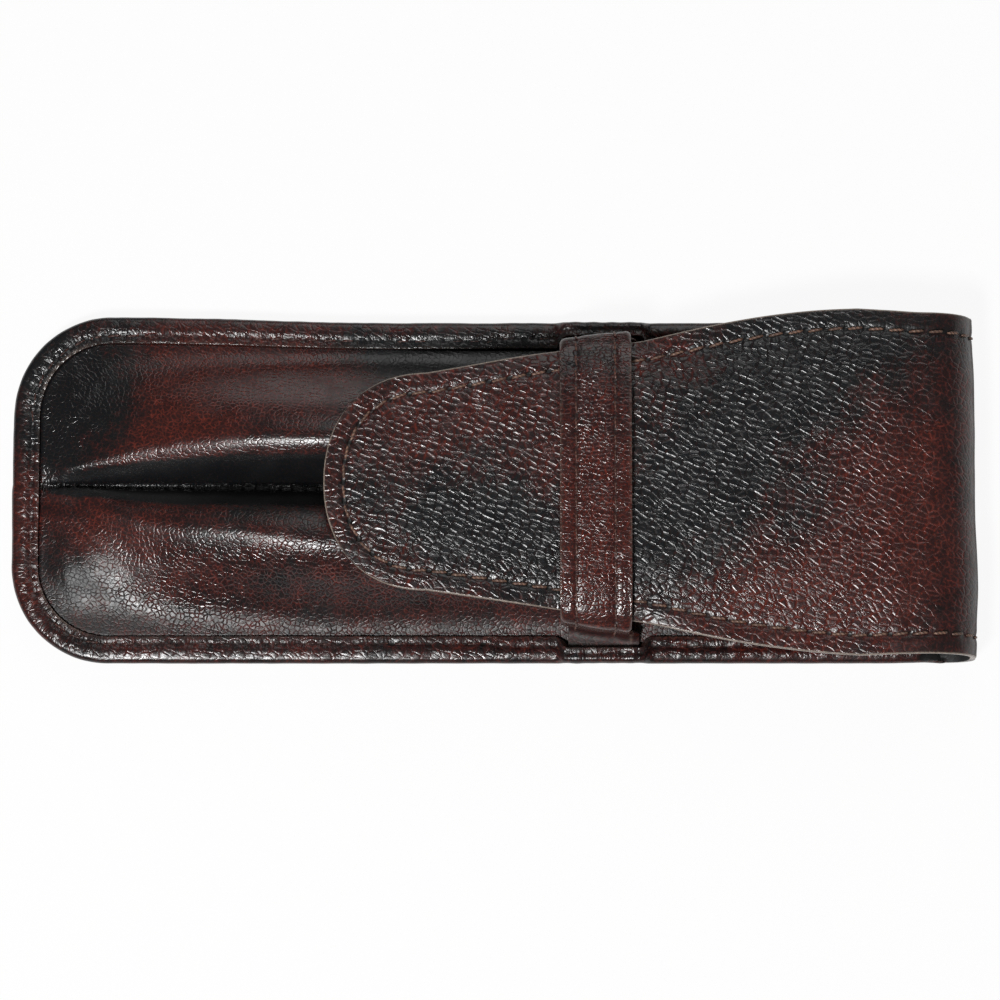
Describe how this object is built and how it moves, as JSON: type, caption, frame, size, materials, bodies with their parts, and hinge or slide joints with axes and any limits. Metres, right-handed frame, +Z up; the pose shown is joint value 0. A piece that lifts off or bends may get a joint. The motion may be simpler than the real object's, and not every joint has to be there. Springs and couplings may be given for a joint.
{
  "type": "pen pouch",
  "caption": "Leather pen pouch with side-by-side pen pockets and a fold-over flap whose rounded tongue tucks under a sewn keeper band.",
  "frame": {"origin": "middle of the footprint, on the surface that the pouch lies on", "axes": "+X along the pens from the closed end to the mouth, +Y across the pouch, +Z up out of the front with the pouch lying on its back"},
  "size_m": [0.1608, 0.057, 0.0187],
  "materials": {
    "front_leather": "polished pebbled leather, mottled burgundy and black",
    "back_leather": "polished pebbled leather, mottled black and burgundy",
    "keeper_leather": "polished pebbled leather, worn pale at the bends",
    "lining": "thin matt skiver lining",
    "thread": "waxed thread"
  },
  "bodies": {
    "root": {"back_cover": "back_leather", "back_lining": "lining", "front_panel": "front_leather", "pocket_lining_left": "lining", "pocket_lining_right": "lining", "keeper_band": "keeper_leather", "keeper_lining": "lining", "edge_stitching": "thread", "seam_stitching": "thread", "keeper_stitching_front": "thread", "keeper_stitching_rear": "thread"},
    "fold": {"fold_cover": "front_leather", "fold_lining": "lining", "fold_stitching_left": "thread", "fold_stitching_right": "thread"},
    "flap": {"flap_cover": "front_leather", "flap_lining": "lining", "flap_stitching_left": "thread", "flap_stitching_right": "thread", "tongue_cover": "front_leather", "tongue_lining": "lining", "tongue_stitching_left": "thread", "tongue_stitching_right": "thread"}
  },
  "joints": [
    {"name": "fold_hinge", "type": "hinge", "parent": "root", "child": "fold", "pos_m": [0.07868, 0, 0.00132], "axis": [0, 1, 0], "range_deg": [0, 90]},
    {"name": "flap_hinge", "type": "hinge", "parent": "fold", "child": "flap", "pos_m": [0.07751, 0, 0.01351], "axis": [0, 1, 0], "range_deg": [0, 90], "deforming": ["tongue_cover", "tongue_lining", "tongue_stitching_left", "tongue_stitching_right"]}
  ],
  "couplings": [
    {"joint": "fold_hinge", "follows": "flap_hinge", "ratio": 1}
  ]
}
